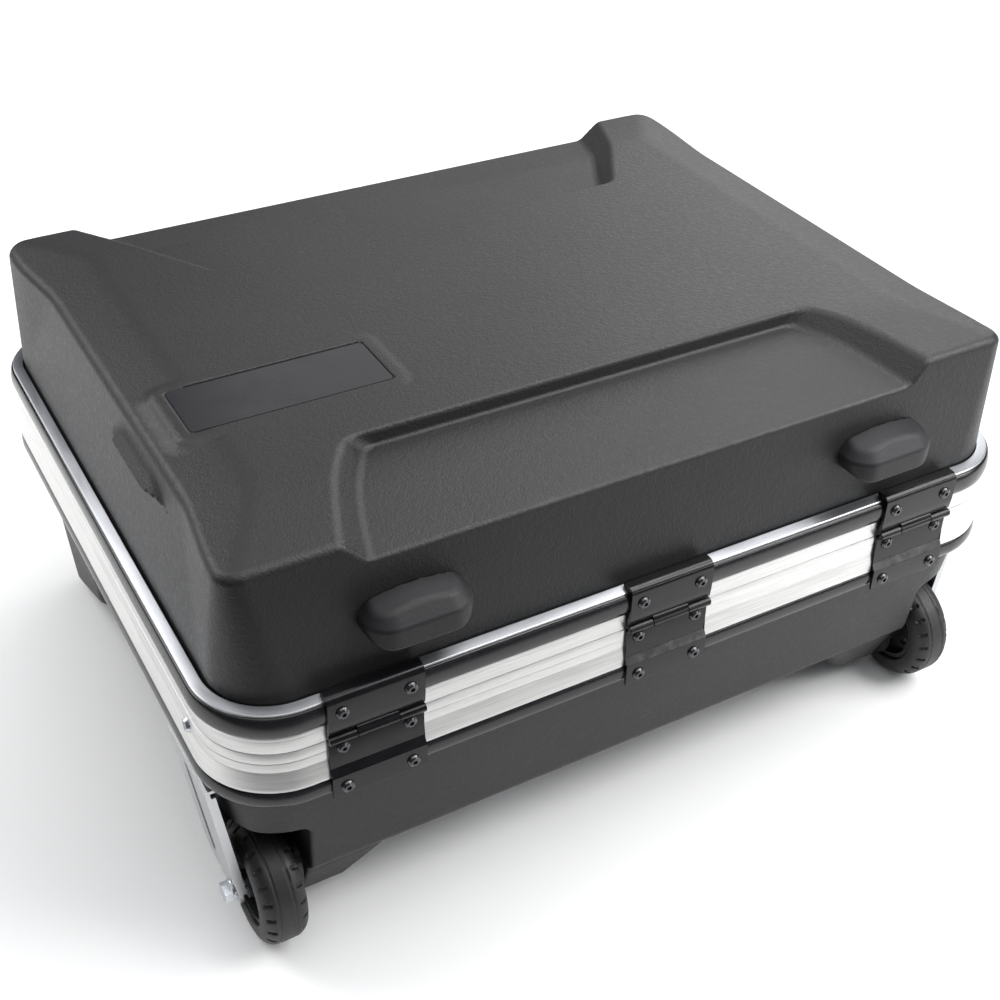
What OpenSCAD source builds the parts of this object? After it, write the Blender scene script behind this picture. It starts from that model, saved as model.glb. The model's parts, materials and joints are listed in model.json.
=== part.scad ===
// Wheeled hard tool case with an aluminium frame.
// X runs along the hinge, +Y points to the hinge side, Z points up with the lid on top.
// Inside the modules, height 0 is the top of the lid frame's lip.

/* [Case] */
// Length of the lid frame over its lip
case_l = 520; // [480:1:600]
// Width of the lid frame over its lip
case_w = 420; // [390:1:480]
// Corner radius of the lip
corner_r = 44; // [34:1:54]
// Height of the lip above the floor
lip_h = 195; // [188:1:220]
// How far handle, latches and lid feet stand out past the lip
reach = 8; // [7.5:0.5:12]

/* [Lid shell] */
// Wall of both moulded shells
wall = 3; // [2.4:0.2:3.6]
// Height of the flat top over the lip
lid_h = 85; // [80:1:100]
// Height of the outer shoulder over the lip
shoulder_h = 77; // [70:1:79]
// Rounding of the shoulder
shoulder_r = 9; // [5:1:10]
// Draft of the long walls, in degrees
long_draft = 7; // [4:0.5:8]
// Draft of the short walls, in degrees
short_draft = 9.7; // [6:0.1:11]
// Distance from the lip in to the flat top, at the ends
top_in_l = 55; // [50:1:75]
// Distance from the lip in to the flat top, at the long sides
top_in_w = 73; // [60:1:85]
// Depth of the two stepped shelves below the top
shelf_step = 9; // [6:0.5:11]
// Slope of the outer part of a shelf, in degrees
shelf_slope = 11; // [6:0.5:13]
// Distance from the lip in to the inner corners of a shelf
shelf_in = 117; // [110:1:140]
// Depth of the hinge-side shelf into the flat top
rear_shelf_d = 16; // [8:1:26]
// Depth of the latch-side shelf into the flat top
front_shelf_d = 55; // [16:1:66]

/* [Frame] */
// Width of the visible lip
lip_w = 6.3; // [5.5:0.1:7]
// Wall of the aluminium sections
metal = 1.6; // [1.2:0.1:2]
// Height of the lid frame
lid_frame_h = 26.8; // [24:0.2:30]
// Height of the lid bead
lid_bead_h = 14.4; // [12:0.2:15]
// Height of the base frame's band
band_h = 24; // [22:0.5:30]
// Height of the base bead
base_bead_h = 11.4; // [10:0.2:13]
// How far the band's foot flares out
flare = 2.8; // [2.2:0.1:3.2]
// How far a bead bulges past the lip
bead_bulge = 2.5; // [1.5:0.1:3]

/* [Base shell] */
// Draft of the base walls, in degrees
base_draft = 6.5; // [4:0.5:8]
// Depth of the base walls under the lip
base_wall_h = 139; // [130:1:142]
// Depth of the base floor under the lip
base_floor_h = 150; // [145:1:156]
// Depth of the four corner legs under the lip
leg_h = 187; // [180:1:188]
// Width of the wheel recess, from the side of the case
recess_in = 45.5; // [44:0.5:50]
// Depth of the recess roof under the lip
recess_top = 98; // [92:1:101]

/* [Hinges] */
// Distance from the end of the case to the middle of an outer hinge
hinge_end = 81; // [72:1:100]
// Width of a hinge
hinge_w = 54; // [46:1:60]
// Sheet of the hinge leaves
leaf = 1.6; // [1.2:0.1:2]
// Diameter of the hinge pins
pin_d = 2.6; // [2.2:0.1:3]
// Diameter of the knuckles
knuckle_d = 4.8; // [4.6:0.1:5.4]

/* [Wheels] */
// Diameter of the tyres
wheel_d = 75; // [68:1:77]
// Width of the tyres
wheel_w = 27; // [22:1:28]
// Distance from the end of the case to the middle of a tyre
wheel_in = 26; // [25:0.5:27]
// Distance from the hinge side of the case to the wheel axles
wheel_rear = 38; // [34:1:42]
// Diameter of the axle bolts
axle_d = 8; // [6:0.5:10]
// Gap between the tyres and the floor
wheel_gap = 1; // [0.5:0.5:3]

/* [Trolley] */
// Distance between the trolley tubes
tube_pitch = 150; // [120:1:200]
// Travel of each trolley stage
stage_travel = 270; // [200:5:275]
// Length by which the trolley tubes still overlap when they are pulled out
tube_overlap = 60; // [50:1:65]

/* [Fasteners and fits] */
// Head diameter of the button-head screws
head_d = 7.6; // [6.6:0.1:8.2]
// Running clearance of pins and shafts, on the radius
run_gap = 0.06; // [0.02:0.01:0.1]
// Gap between parts that lie side by side
gap = 0.3; // [0.2:0.05:0.5]

/* [Hidden] */
$fn = 32;

BLACK = "#1c1c1e";
GREY = "#2b2b2d";
SILVER = "#c9cbcd";

// Levels under the lip
part_z = -lid_frame_h - gap / 2;
band_z = part_z - gap / 2;
flare_z = band_z - band_h;
bead_z = flare_z - metal;
foot_z = bead_z - base_bead_h;
rim_z = foot_z - metal;
lid_shelf_z = -metal - lid_bead_h;

// Positions measured from the ends and the long sides of the case
top_l = case_l - 2 * top_in_l;
top_w = case_w - 2 * top_in_w;
shelf_l = case_l - 2 * shelf_in;
rear_shelf_y = top_w / 2 - rear_shelf_d;
front_shelf_y = top_w / 2 - front_shelf_d;
hinge_pitch = case_l / 2 - hinge_end;
wheel_x = case_l / 2 - wheel_in;
wheel_y = case_w / 2 - wheel_rear;

// Distances in from the lip
skirt_in = lip_w + 1.1;
base_in = 6.2;
leg_in = skirt_in + wall + gap;

// Hinge axis, out from the lip and under it
pin_out = 0.6 + knuckle_d / 2 + gap;
pin_z = part_z + 0.3 * knuckle_d;

module seat() { translate([0, 0, lip_h]) children(); }
module both() { for (s = [-1, 1]) scale_x(s) children(); }
module scale_x(s) { if (s < 0) mirror([1, 0, 0]) children(); else children(); }

// Carries a 2-D section (x out from the lip, y up) round the case
module ring() {
  sx = case_l / 2 - corner_r;
  sy = case_w / 2 - corner_r;
  for (i = [0:3]) {
    cx = (i == 0 || i == 3) ? sx : -sx;
    cy = i < 2 ? sy : -sy;
    translate([cx, cy, 0]) rotate([0, 0, 90 * i])
      rotate_extrude(angle = 90, $fn = 64) translate([corner_r, 0]) children();
  }
  for (s = [0, 180]) {
    rotate([0, 0, s]) translate([case_l / 2, sy, 0]) rotate([90, 0, 0]) linear_extrude(2 * sy) children();
    rotate([0, 0, s]) translate([-sx, case_w / 2, 0]) rotate([90, 0, 90]) linear_extrude(2 * sx) children();
  }
}

// Thin slice of the rounded case outline, inset by dx and dy, at height z
module slice(dx, dy, z, r) {
  translate([0, 0, z]) linear_extrude(0.01) rounded(case_l - 2 * dx, case_w - 2 * dy, r);
}
module rounded(l, w, r) {
  hull_r = min(r, l / 2 - 1, w / 2 - 1);
  offset(r = hull_r) square([l - 2 * hull_r, w - 2 * hull_r], center = true);
}

// ---- Lid shell ----

function lid_dx(z) = skirt_in + max(z, 0) * tan(short_draft);
function lid_dy(z) = skirt_in + max(z, 0) * tan(long_draft);

// Closed outer form of the lid, shrunk by t for its inside
module lid_form(t) {
  r0 = corner_r - skirt_in - t;
  z0 = t > 0 ? lid_shelf_z - 1 : lid_shelf_z + gap;
  hull() {
    translate([0, 0, z0]) linear_extrude(-z0)
      rounded(case_l - 2 * (skirt_in + t), case_w - 2 * (skirt_in + t), r0);
    for (a = [0:30:90]) {
      z = shoulder_h - shoulder_r * (1 - sin(a));
      inset = shoulder_r * (1 - cos(a)) + t;
      slice(lid_dx(z) + inset, lid_dy(z) + inset, z - t, r0 - inset / 2 + t / 2);
    }
    slice((case_l - top_l) / 2 + t / 2, (case_w - top_w) / 2 + t / 2, lid_h - t, 14);
  }
}

// Space over one stepped shelf, y0 from the middle and towards +Y, grown by t for the inside
module shelf_cut(y0, t) {
  y_wall = case_w / 2 + 20;
  run = y_wall - y0;
  z_in = lid_h - shelf_step;
  y_bend = top_w / 2 + 6;
  grow = 0.62;
  intersection() {
    hull() for (e = [[-3, z_in - 30], [6, lid_h + 8]])
      translate([0, 0, e[1]]) linear_extrude(0.01) offset(r = 9 + t) offset(delta = -9)
        polygon([[-shelf_l / 2 - e[0], y0 - 0.1 * e[0]], [shelf_l / 2 + e[0], y0 - 0.1 * e[0]],
          [shelf_l / 2 + grow * run + e[0], y_wall + 12], [-shelf_l / 2 - grow * run - e[0], y_wall + 12]]);
    rotate([90, 0, 90]) translate([0, -t, 0]) linear_extrude(case_l, center = true)
      polygon([[y0 - 20, z_in], [y0, z_in], [y_bend, z_in - 1.5],
        [y_wall + 20, z_in - 1.5 - (y_wall + 20 - y_bend) * tan(shelf_slope)],
        [y_wall + 20, lid_h + 20], [y0 - 20, lid_h + 20]]);
  }
}

// Label pocket, a flat pad set into the top near one corner
label_l = 116;
label_w = 43;
label_t = 0.8;
label_x = case_l / 2 - 100;
label_y = case_w / 2 - 151.5;
module label_area(grow, h) {
  translate([label_x, label_y, lid_h - label_t]) linear_extrude(h)
    rounded(label_l + 2 * grow, label_w + 2 * grow, 2.5 + grow);
}

module lid_shell() color(BLACK) seat() difference() {
  union() {
    difference() {
      lid_form(0);
      shelf_cut(rear_shelf_y, 0);
      mirror([0, 1, 0]) shelf_cut(front_shelf_y, 0);
    }
    intersection() {
      translate([0, 0, -2 * wall]) label_area(3, 2 * wall + label_t);
      translate([0, 0, lid_h - 2 * wall]) linear_extrude(2 * wall) square([case_l, case_w], center = true);
    }
  }
  difference() {
    lid_form(wall);
    shelf_cut(rear_shelf_y, wall);
    mirror([0, 1, 0]) shelf_cut(front_shelf_y, wall);
  }
  label_area(gap, 2 * label_t);
}

module label_plate() color(GREY) seat() label_area(0, label_t);

// ---- Frame rings ----

seal_w = 3.2;
tongue_in = -metal - seal_w / 2;
module lid_frame() color(SILVER) seat() ring() polygon([
  [0, 0], [0, -metal], [-lip_w + metal, -metal], [-lip_w + metal, lid_shelf_z], [0.6, lid_shelf_z],
  [0.6, -lid_frame_h], [0.6 - metal, -lid_frame_h], [0.6 - metal, lid_shelf_z - metal],
  [tongue_in + 0.8, lid_shelf_z - metal], [tongue_in + 0.8, -lid_frame_h], [tongue_in - 0.8, -lid_frame_h],
  [tongue_in - 0.8, lid_shelf_z - metal], [-leg_in - metal, lid_shelf_z - metal],
  [-leg_in - metal, -2 * metal - 3],
  [-leg_in, -2 * metal - 3], [-leg_in, lid_shelf_z], [-lip_w, lid_shelf_z], [-lip_w, 0]]);

flare_r = 6;
function flare_line(n) = [for (i = [0:n]) let (a = 90 * i / n)
  [0.6 + (flare - 0.6) * (1 - cos(a)), flare_z + flare_r * (1 - sin(a))]];

base_leg = base_in + wall + gap;
module base_frame() color(SILVER) seat() difference() {
  base_frame_ring();
  both() translate([case_l / 2, stay_y, stay_z]) rotate([0, 90, 0])
    cylinder(r = 2.5 + run_gap, h = 12, center = true);
}
module base_frame_ring() ring() polygon(concat(
  [[0.6, band_z]], flare_line(5),
  [[flare, bead_z], [-base_in + 1.1 + metal, bead_z], [-base_in + 1.1 + metal, foot_z],
  [0.4, foot_z], [0.4, rim_z], [-base_in + 1.1, rim_z], [-base_in + 1.1, bead_z],
  [-base_leg, bead_z], [-base_leg, bead_z - 9], [-base_leg - metal, bead_z - 9],
  [-base_leg - metal, flare_z], [0.6 - metal, flare_z], [0.6 - metal, band_z - 6],
  [-metal - seal_w - 2, band_z - 6], [-metal - seal_w - 2, band_z - 1],
  [-metal - seal_w - 0.6, band_z - 1], [-metal - seal_w - 0.6, band_z - 6 + metal],
  [0.6 - metal, band_z - 6 + metal], [0.6 - metal, band_z]]));

// Half-round bead of height h whose top lies at z, bulging out to b
module bead_section(z, h, back, b) {
  n = 8;
  polygon(concat([[-back, z], [-back, z - h]],
    [for (i = [0:n]) let (a = 90 - 180 * i / n) [b - 2.4 + 2.4 * cos(a), z - h / 2 - h / 2 * sin(a)]]));
}
module lid_bead() color(BLACK) seat() ring() bead_section(-metal, lid_bead_h, lip_w - metal, bead_bulge);
module base_bead() color(BLACK) seat() ring()
  bead_section(bead_z, base_bead_h, base_in - 1.1 - metal, flare + 0.8);
module frame_seal() color("#3a3a3a") seat() ring()
  translate([tongue_in, band_z - 6 + metal]) union() {
    translate([-seal_w / 2 + 0.2, 0]) square([seal_w - 0.4, 3]);
    translate([0, 3]) circle(r = 1.2, $fn = 24);
  }

// ---- Base shell ----

function base_d(z) = base_in + max(rim_z - z, 0) * tan(base_draft);

module base_form(t) hull() {
  translate([0, 0, rim_z]) linear_extrude((t > 0 ? bead_z + 1 : bead_z - gap) - rim_z)
    rounded(case_l - 2 * (base_in + t), case_w - 2 * (base_in + t), corner_r - base_in - t);
  slice(base_d(-base_wall_h) + t, base_d(-base_wall_h) + t, -base_wall_h + t / 2, corner_r - 14 - t);
  slice(base_d(-base_wall_h) + 18 + t, base_d(-base_wall_h) + 18 + t, -base_floor_h + t, 18);
}

// Corner legs, each from its inner end towards the corner; t shrinks them for the inside
module leg_form(rear, t) {
  if (rear) rear_leg(t);
  else front_leg(t);
}
leg_top_z = -base_wall_h + 20;
leg_mid_z = -base_wall_h - 13;
module rear_leg(t) {
  x1 = case_l / 2 - base_d(-leg_h) - t;
  y0 = case_w / 2 - 118 + t;
  ymax = case_w / 2 - t;
  hull() {
    leg_slice(case_l / 2 - 102 + t, case_l / 2 - base_d(leg_top_z) - t - 0.5, y0,
      ymax - base_d(leg_top_z) - 0.5, leg_top_z, 28 - t);
    leg_slice(case_l / 2 - 98 + t, case_l / 2 - base_d(leg_mid_z) - t - 0.3, y0, ymax - 24.5,
      leg_mid_z, 24 - t);
    leg_slice(case_l / 2 - 80 + t, x1, y0 + 12, ymax - 36, -leg_h + 9, 14);
    leg_slice(case_l / 2 - 70 + t, x1, y0 + 14, ymax - 46, -leg_h + t, 10);
  }
}
module front_leg(t) {
  x1 = case_l / 2 - base_d(-leg_h) + 4 - t;
  y1 = -case_w / 2 + base_d(-leg_h) - 2 + t;
  y_mid = -case_w / 2 + 120 - t;
  hull() {
    leg_slice(case_l / 2 - 82 + t, case_l / 2 - base_d(leg_top_z) - t - 0.5, y_mid,
      -case_w / 2 + base_d(leg_top_z) + t + 0.5, leg_top_z, 32 - t);
    leg_slice(case_l / 2 - 90 + t, case_l / 2 - base_d(leg_mid_z) + 1 - t, y_mid,
      -case_w / 2 + base_d(leg_mid_z) - 0.6 + t, leg_mid_z, 24 - t);
    leg_slice(case_l / 2 - 72 + t, x1, -case_w / 2 + 40 - t, y1, -leg_h + t, 9);
  }
}
module leg_slice(x0, x1, ya, yb, z, r) {
  translate([(x0 + x1) / 2, (ya + yb) / 2, z]) linear_extrude(0.01) rounded(x1 - x0, abs(yb - ya), r);
}

// Space cut out of a rear corner for its wheel, grown by t for the inside of the shell
recess_y0 = wheel_y - wheel_d / 2 - 6;
module recess(t) {
  x0 = case_l / 2 - recess_in;
  translate([x0 - t, recess_y0 - t, -leg_h - 20]) rotate([90, 0, 90]) linear_extrude(90)
    offset(r = 8 + t) translate([8 + t, 8]) square([120 - 16, leg_h + 20 - recess_top - 16]);
}

// Closed form of the base with its legs and wheel recesses, shrunk by t for its inside
module base_body(t) difference() {
  union() {
    base_form(t);
    both() leg_form(true, t);
    both() leg_form(false, t);
  }
  both() recess(t);
}
module base_shell() color(GREY) seat() difference() {
  base_body(0);
  base_body(wall);
}

module base_feet() color(BLACK) seat() {
  for (s = [-1, 1]) {
    translate([s * (case_l / 2 - 34), -case_w / 2 + 30, -lip_h]) foot_pad();
    translate([s * (case_l / 2 - 58), case_w / 2 - 89, -lip_h]) foot_pad();
  }
}
foot_d = 20;
module foot_pad() {
  h = lip_h - leg_h;
  cylinder(d1 = foot_d - 4, d2 = foot_d, h = h - 2, $fn = 40);
  translate([0, 0, h - 2]) cylinder(d = foot_d, h = 2, $fn = 40);
}

// ---- Helpers for parts that are mounted on a long side ----

// Extrudes a section (x out from the lip, y up) along X, on the hinge side
module across(x, w) {
  translate([x - w / 2, case_w / 2, 0]) rotate([90, 0, 90]) linear_extrude(w) children();
}
// Cylinder along X at a point (out from the lip, up) on the hinge side
module rod(x, w, at, d) {
  translate([x - w / 2, case_w / 2 + at[0], at[1]]) rotate([0, 90, 0]) cylinder(d = d, h = w, $fn = 40);
}
module latch_side() { mirror([0, 1, 0]) children(); }

screw_r = head_d / 3.8;

// Button-head screw that points out of the case, its head seated at the origin
module button_screw(shank) {
  difference() {
    rotate_extrude($fn = 32) polygon([[0, -shank], [screw_r, -shank], [screw_r, 0], [head_d / 2, 0],
      [head_d / 2, 0.5], [head_d * 0.43, 1.4], [head_d * 0.3, 2.05], [0, 2.2]]);
    translate([0, 0, 0.8]) cylinder(r = 1.45, h = 3, $fn = 6);
  }
}
module screw_at(x, out, z, tilt, shank) {
  translate([x, case_w / 2 + out, z]) rotate([-90 - tilt, 0, 0]) button_screw(shank);
}
module hole_at(x, out, z, tilt, deep, r = screw_r) {
  translate([x, case_w / 2 + out, z]) rotate([-90 - tilt, 0, 0])
    translate([0, 0, -deep]) cylinder(r = r + run_gap, h = deep + 4, $fn = 24);
}

// ---- Hinges ----

knuckle_l = hinge_w * 0.43;
hinge_screw_x = hinge_w * 0.35;
leaf_out = bead_bulge + 0.2;
pin_at = [pin_out, pin_z];
clear_r = knuckle_d / 2 + gap;

// Lid leaf: over the lip, down the bead, then in to the knuckle
lid_leaf_screw_z = -metal - lid_bead_h * 0.45;
module hinge_lid_leaf(x) color(BLACK) seat() difference() {
  union() {
    across(x, hinge_w) polygon([[-lip_w + 1.6, 0.2], [-lip_w + 1.6, 1.4 + leaf / 2], [-3.2, 1.3 + leaf],
      [0.2, 1.5 + leaf], [2.2, 1 + leaf], [leaf_out + leaf - 0.5, 1.2], [leaf_out + leaf, -0.6],
      [leaf_out + leaf, lid_shelf_z + 1],
      [leaf_out + leaf - 0.5, pin_z + clear_r + 0.8], [leaf_out - 1.2, pin_z + clear_r + 0.8],
      [leaf_out, lid_shelf_z + 2], [leaf_out, -1.8], [leaf_out - 1.8, 0.2]]);
    across(x, knuckle_l) polygon([[leaf_out - 1.2, pin_z + clear_r + 1],
      [pin_out - knuckle_d / 2 + 0.1, pin_z],
      [pin_out, pin_z], [pin_out + knuckle_d / 2 - 0.1, pin_z],
      [leaf_out + leaf - 0.3, pin_z + clear_r + 1]]);
    rod(x, knuckle_l, pin_at, knuckle_d);
  }
  rod(x, hinge_w + 2, pin_at, pin_d + 2 * run_gap);
  for (s = [-1, 1]) hole_at(x + s * hinge_screw_x, leaf_out + leaf, lid_leaf_screw_z, 0, 4);
}
module hinge_lid_leaf_left() hinge_lid_leaf(-hinge_pitch);
module hinge_lid_leaf_middle() hinge_lid_leaf(0);
module hinge_lid_leaf_right() hinge_lid_leaf(hinge_pitch);
module hinge_lid_screws() color("#101010") seat()
  for (i = [-1:1], s = [-1, 1])
    screw_at(i * hinge_pitch + s * hinge_screw_x, leaf_out + leaf, lid_leaf_screw_z, 0, leaf);

// Base leaf: down the band, then out over the flare and down the bead
leaf_end_z = rim_z;
base_over = flare + 0.8 + gap / 2;
band_screw_z = pin_z - clear_r - 5.4;
low_screw_z = foot_z + 4.6;
module hinge_base_leaf(x) color(BLACK) seat() difference() {
  union() {
    across(x, hinge_w) polygon([[0.7, pin_z - clear_r - 0.4], [0.7, flare_z + flare_r],
      [flare + 0.2, bead_z + 1.4],
      [base_over, bead_z - 1.6], [base_over, leaf_end_z], [base_over + leaf - 0.4, leaf_end_z],
      [base_over + leaf, leaf_end_z + 0.5], [base_over + leaf, bead_z - 1.2],
      [flare + 0.2 + leaf, bead_z + 2], [0.7 + leaf, flare_z + flare_r + 0.6],
      [0.7 + leaf, pin_z - clear_r - 0.4]]);
    for (s = [-1, 1]) {
      w = (hinge_w - knuckle_l) / 2 - gap;
      across(x + s * (hinge_w - w) / 2, w) polygon([[0.7, pin_z - clear_r - 1], [0.7, pin_z - 0.5],
        [pin_out, pin_z], [0.7 + leaf + 0.6, pin_z - clear_r - 1]]);
      rod(x + s * (hinge_w - w) / 2, w, pin_at, knuckle_d - 0.4);
    }
  }
  rod(x, hinge_w + 2, pin_at, pin_d + 2 * run_gap);
  for (s = [-1, 1]) {
    hole_at(x + s * hinge_screw_x, 0.7 + leaf, band_screw_z, 0, 4);
    hole_at(x + s * hinge_screw_x, base_over + leaf, low_screw_z, 0, 4);
  }
}
module hinge_base_leaf_left() hinge_base_leaf(-hinge_pitch);
module hinge_base_leaf_middle() hinge_base_leaf(0);
module hinge_base_leaf_right() hinge_base_leaf(hinge_pitch);
module hinge_base_screws() color("#101010") seat()
  for (i = [-1:1], s = [-1, 1]) {
    x = i * hinge_pitch + s * hinge_screw_x;
    screw_at(x, 0.7 + leaf, band_screw_z, 0, leaf);
    screw_at(x, base_over + leaf, low_screw_z, 0, leaf);
  }
module hinge_pins() color(SILVER) seat()
  for (i = [-1:1]) rod(i * hinge_pitch, hinge_w - 0.6, pin_at, pin_d);

// ---- Lid feet ----

foot_x = case_l / 2 - 109;
foot_l = 62;
foot_low = 19;
foot_high = 47;
foot_mid = (foot_low + foot_high) / 2;
module lid_foot(s) color(BLACK) seat() intersection() {
  across(s * foot_x, foot_l) polygon([[0.05 - lid_dy(foot_low), foot_low], [reach - 2, foot_low + 2],
    [reach, foot_low + 4], [reach, foot_high - 7.5], [reach - 1, foot_high - 6], [0, foot_high - 2.2],
    [-5, foot_high - 0.6], [0.05 - lid_dy(foot_high), foot_high]]);
  translate([s * foot_x, case_w / 2 + reach + 1, foot_mid]) rotate([90, 0, 0]) linear_extrude(60) union() {
    rounded(foot_l, foot_high - foot_low, 13);
    translate([0, foot_high / 2 - foot_low / 2 - 7]) rounded(foot_l, 14, 6);
  }
  translate([s * foot_x, case_w / 2 + reach - 30, 0]) linear_extrude(100) rounded(foot_l, 60, 15);
}
module lid_foot_left() lid_foot(-1);
module lid_foot_right() lid_foot(1);

// ---- Lid stays ----

stay_y = case_w / 2 - 54;
stay_z = band_z - 11;
stay_in = 14.5;
stay_t = 2;
stay_l = 226;
stud_y = stay_y - 126;
stud_z = lid_shelf_z + 4;
stay_angle = atan((stud_z - stay_z) / (stay_y - stud_y));
slot_w = 6.4;
module stay_arm(s) color(SILVER) seat() scale_x(s)
  translate([case_l / 2 - stay_in - stay_t, stay_y, stay_z]) rotate([-stay_angle, 0, 0])
    rotate([90, 0, 90]) linear_extrude(stay_t) difference() {
      union() {
        circle(d = 16, $fn = 40);
        translate([-stay_l, -7]) square([stay_l, 14]);
        translate([-stay_l, 0]) circle(d = 14, $fn = 40);
      }
      circle(r = 3 + run_gap, $fn = 40);
      translate([-stay_l, -slot_w / 2]) square([stay_l * 0.52, slot_w]);
      translate([-stay_l, 0]) circle(d = slot_w, $fn = 40);
      translate([-stay_l * 0.48, 0]) circle(d = slot_w, $fn = 40);
    }
module stay_arm_left() stay_arm(-1);
module stay_arm_right() stay_arm(1);

// Shouldered screw from outside the band, through the arm, to its inner washer
module stay_pivot_screws() color("#b9c4c9") seat() both()
  translate([case_l / 2 + 0.6, stay_y, stay_z]) rotate([0, 90, 0]) {
    difference() {
      cylinder(d1 = 9, d2 = 7, h = 2, $fn = 40);
      translate([0, 0, 1]) cube([6, 1.2, 3], center = true);
    }
    translate([0, 0, -metal]) cylinder(d = 5, h = metal + 0.01);
    translate([0, 0, -stay_in - 0.6 + gap]) cylinder(d = 9, h = stay_in + 0.6 - gap - metal);
    translate([0, 0, -stay_in - 0.6 - stay_t - gap]) cylinder(d = 6, h = stay_t + 2 * gap + 0.01, $fn = 40);
    translate([0, 0, -stay_in - 0.6 - stay_t - gap - 1.5]) cylinder(d = 11, h = 1.5);
  }
module lid_stay_studs() color("#b9c4c9") seat() both()
  translate([case_l / 2 - leg_in - metal, stud_y, stud_z]) rotate([0, -90, 0]) {
    translate([-4, -12, 0]) cube([8, 24, 1]);
    cylinder(d = 6, h = stay_in - leg_in - metal - gap);
  }

// ---- Latches ----

latch_x = case_l / 2 - 95;
latch_w = 38;
lever_w = 33;
lever_pin = [5.2, band_z - 16];
lock_z = lever_pin[1] + 15;
lock_d = 11;
lever_top = lid_shelf_z + 8;
module latch_plate(s) color(SILVER) seat() latch_side() difference() {
  union() {
    across(s * latch_x, latch_w) polygon([[0.65, band_z - 2], [0.65, flare_z + flare_r],
      [flare + 0.2, bead_z + 1.4],
      [base_over, bead_z - 1.6], [base_over, foot_z + 1], [base_over + 1.4, foot_z + 1],
      [base_over + 1.4, bead_z - 1], [flare + 1.4, bead_z + 1.8], [2, flare_z + flare_r + 1],
      [2, band_z - 2]]);
    for (e = [-1, 1]) across(s * latch_x + e * (latch_w / 2 - 0.9), 1.8) polygon([[1.5, band_z - 4],
      [reach - 0.8, lever_pin[1] + 3], [reach - 0.3, lever_pin[1]], [reach - 0.8, lever_pin[1] - 3],
      [3.6, bead_z + 1], [1.5, flare_z + flare_r]]);
    rod(s * latch_x, latch_w, lever_pin, 2);
  }
  for (e = [-1, 1]) hole_at(s * latch_x + e * 12, base_over + 1.4, bead_z - 6, 0, 1.5);
}
module latch_plate_left() latch_plate(-1);
module latch_plate_right() latch_plate(1);

module latch_lever(s) color("#d6d8da") seat() latch_side() difference() {
  union() {
    across(s * latch_x, lever_w) polygon([[reach - 2, lever_pin[1] + 1], [reach - 2, lever_top - 1.6],
      [4.7, lever_top - 1.6], [4.7, lever_top], [reach - 1, lever_top], [reach - 0.4, lever_top - 1],
      [reach - 0.4, lever_pin[1] + 1]]);
    for (e = [-1, 1]) across(s * latch_x + e * (lever_w / 2 - 0.8), 1.6) polygon([[3.2, lever_pin[1]],
      [4, lever_pin[1] + 14], [reach - 1, lever_pin[1] + 18], [reach - 1, lever_pin[1]]]);
    rod(s * latch_x, lever_w, lever_pin, 4.4);
  }
  rod(s * latch_x, latch_w + 2, lever_pin, 2 + 2 * run_gap);
  translate([s * latch_x, case_w / 2, lock_z]) rotate([-90, 0, 0])
    cylinder(d = lock_d + 2 * run_gap, h = 20, $fn = 40);
}
module latch_lever_left() latch_lever(-1);
module latch_lever_right() latch_lever(1);

module latch_lock(s) color(SILVER) seat() latch_side()
  translate([s * latch_x, case_w / 2, lock_z]) rotate([-90, 0, 0]) difference() {
    union() {
      translate([0, 0, 3.6]) cylinder(d = lock_d, h = reach - 3.6, $fn = 40);
      translate([0, 0, 3.6]) cylinder(d = lock_d + 3, h = 1.6, $fn = 40);
    }
    translate([0, 0, reach]) cube([1, 6, 4], center = true);
  }
module latch_lock_left() latch_lock(-1);
module latch_lock_right() latch_lock(1);

module latch_catches() color(SILVER) seat() latch_side() both()
  across(latch_x, 26) polygon([[leaf_out, -2.4], [leaf_out, lid_shelf_z + 1.2],
    [leaf_out + 1.4, lid_shelf_z + 1.2],
    [leaf_out + 1.4, -2]]);

// ---- Carrying handle ----

grip_l = 104;
arm_w = 6;
handle_x = grip_l / 2 + arm_w / 2 + 1;
handle_pin = [reach - 2.2, band_z - 8];
grip_z = handle_pin[1] - 58;
bar_d = 7;
grip_d = 14;
module handle_brackets() color(SILVER) seat() latch_side() for (s = [-1, 1]) difference() {
  union() {
    across(s * handle_x, arm_w + 14) polygon([[0.65, band_z - 2], [0.65, flare_z + flare_r],
      [2.2, flare_z + flare_r],
      [2.2, band_z - 2]]);
    for (e = [-1, 1]) {
      across(s * handle_x + e * (arm_w / 2 + gap + 1), 2) polygon([[1.5, band_z - 2.5],
        [1.5, flare_z + flare_r],
        [handle_pin[0], handle_pin[1] - 2], [handle_pin[0], handle_pin[1] + 2]]);
      rod(s * handle_x + e * (arm_w / 2 + gap + 1), 2, handle_pin, 4.4);
    }
  }
  rod(s * handle_x, 30, handle_pin, 2.4 + 2 * run_gap);
  for (e = [-1, 1]) hole_at(s * handle_x + e * 7.6, 2.2, band_z - 14, 0, 1.5, 1.5);
}
module handle_pins() color(SILVER) seat() latch_side()
  for (s = [-1, 1]) rod(s * handle_x, arm_w + 2 * gap + 4, handle_pin, 2.4);
module handle_screws() color("#101010") seat() latch_side() {
  for (s = [-1, 1], e = [-1, 1]) {
    translate([s * handle_x + e * 7.6, case_w / 2 + 2.2, band_z - 14]) rotate([-90, 0, 0]) small_screw(1.5);
    screw_at(s * latch_x + e * 12, base_over + 1.4, bead_z - 6, 0, 1.4);
  }
}
module small_screw(shank) {
  translate([0, 0, -shank]) cylinder(r = 1.5, h = shank + 0.01);
  cylinder(d1 = 4.4, d2 = 3.4, h = 1.2);
}
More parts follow.
